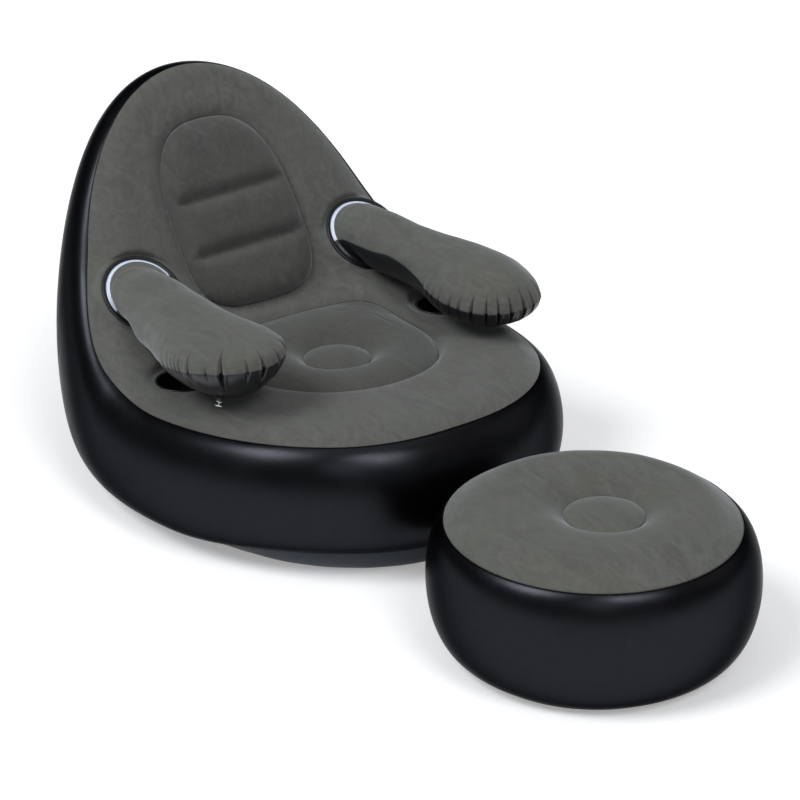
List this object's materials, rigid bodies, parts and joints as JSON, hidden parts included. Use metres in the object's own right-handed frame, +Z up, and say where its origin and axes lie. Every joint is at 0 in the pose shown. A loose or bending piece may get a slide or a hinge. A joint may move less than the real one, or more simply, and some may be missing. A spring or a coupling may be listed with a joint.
{
  "type": "inflatable lounge chair",
  "caption": "Round inflatable lounge chair with a flocked seat and reclined back, bending air-filled arms over cup holders, and a matching round inflatable footstool.",
  "frame": {"origin": "centre of the chair's floor sheet, on the floor", "axes": "+Z up, -Y the way the chair faces, +X to the right as seen from the front; left and right in names are as seen from the front"},
  "size_m": [0.992, 1.8787, 0.7738],
  "materials": {
    "grey_flock": "matte brushed flock",
    "arm_flock": "matte brushed flock",
    "black_film": "satin",
    "base_film": "satin",
    "pale_weld_edge": "gloss",
    "weld_bead": "satin",
    "inner_film": "satin",
    "clear_plug": "clear, soft",
    "valve_moulding": "satin"
  },
  "bodies": {
    "chair": {"deck_cover": "grey_flock", "seat_cushion": "grey_flock", "seat_button": "grey_flock", "back_cushion": "grey_flock", "side_wall": "black_film", "base_band": "base_film", "floor_sheet": "black_film", "rim_weld": "weld_bead", "base_weld": "weld_bead", "seat_tie_front": "inner_film", "seat_tie_right": "inner_film", "seat_tie_rear": "inner_film", "seat_tie_left": "inner_film", "seat_core_tube": "inner_film", "back_tie_lower": "inner_film", "back_tie_upper": "inner_film", "left_arm_socket": "black_film", "right_arm_socket": "black_film", "left_arm_band": "pale_weld_edge", "left_arm_cuff": "black_film", "right_arm_band": "pale_weld_edge", "right_arm_cuff": "black_film", "left_cup_holder": "black_film", "right_cup_holder": "black_film", "chair_valve": "valve_moulding"},
    "chair_plug": {"chair_valve_plug": "clear_plug"},
    "ottoman": {"ottoman_top": "grey_flock", "ottoman_button": "grey_flock", "ottoman_wall": "black_film", "ottoman_floor_sheet": "black_film", "ottoman_rim_weld": "weld_bead", "ottoman_base_weld": "weld_bead", "ottoman_core_tube": "inner_film", "ottoman_valve": "valve_moulding"},
    "ottoman_plug": {"ottoman_valve_plug": "clear_plug"},
    "left_arm": {"left_arm_top": "arm_flock", "left_arm_underside": "black_film", "left_arm_root_disc": "inner_film", "left_arm_valve": "valve_moulding"},
    "left_arm_plug": {"left_arm_valve_plug": "clear_plug"},
    "right_arm": {"right_arm_top": "arm_flock", "right_arm_underside": "black_film", "right_arm_root_disc": "inner_film", "right_arm_valve": "valve_moulding"},
    "right_arm_plug": {"right_arm_valve_plug": "clear_plug"}
  },
  "joints": [
    {"name": "left_arm_lift", "type": "hinge", "parent": "chair", "child": "left_arm", "pos_m": [-0.2856, 0.18825, 0.40148], "axis": [-1, 0, 0], "range_deg": [0, 14], "stiffness_Nm_per_rad": 6, "deforming": ["left_arm_band", "left_arm_cuff"]},
    {"name": "left_arm_plug_pull", "type": "slide", "parent": "left_arm", "child": "left_arm_plug", "axis": [-0.4229, -0.1714, -0.8898], "range_m": [0, 0.03]},
    {"name": "right_arm_lift", "type": "hinge", "parent": "chair", "child": "right_arm", "pos_m": [0.2856, 0.18825, 0.40148], "axis": [-1, 0, 0], "range_deg": [0, 14], "stiffness_Nm_per_rad": 6, "deforming": ["right_arm_band", "right_arm_cuff"]},
    {"name": "right_arm_plug_pull", "type": "slide", "parent": "right_arm", "child": "right_arm_plug", "axis": [0.4229, -0.1714, -0.8898], "range_m": [0, 0.03]},
    {"name": "chair_plug_pull", "type": "slide", "parent": "chair", "child": "chair_plug", "axis": [-0.0953, 0.9927, -0.0735], "range_m": [0, 0.05]},
    {"name": "ottoman_slide", "type": "slide", "parent": "chair", "child": "ottoman", "axis": [0, -1, 0], "range_m": [-0.03, 0.5]},
    {"name": "ottoman_plug_pull", "type": "slide", "parent": "ottoman", "child": "ottoman_plug", "axis": [0.5677, 0.7752, -0.2771], "range_m": [0, 0.03]}
  ]
}
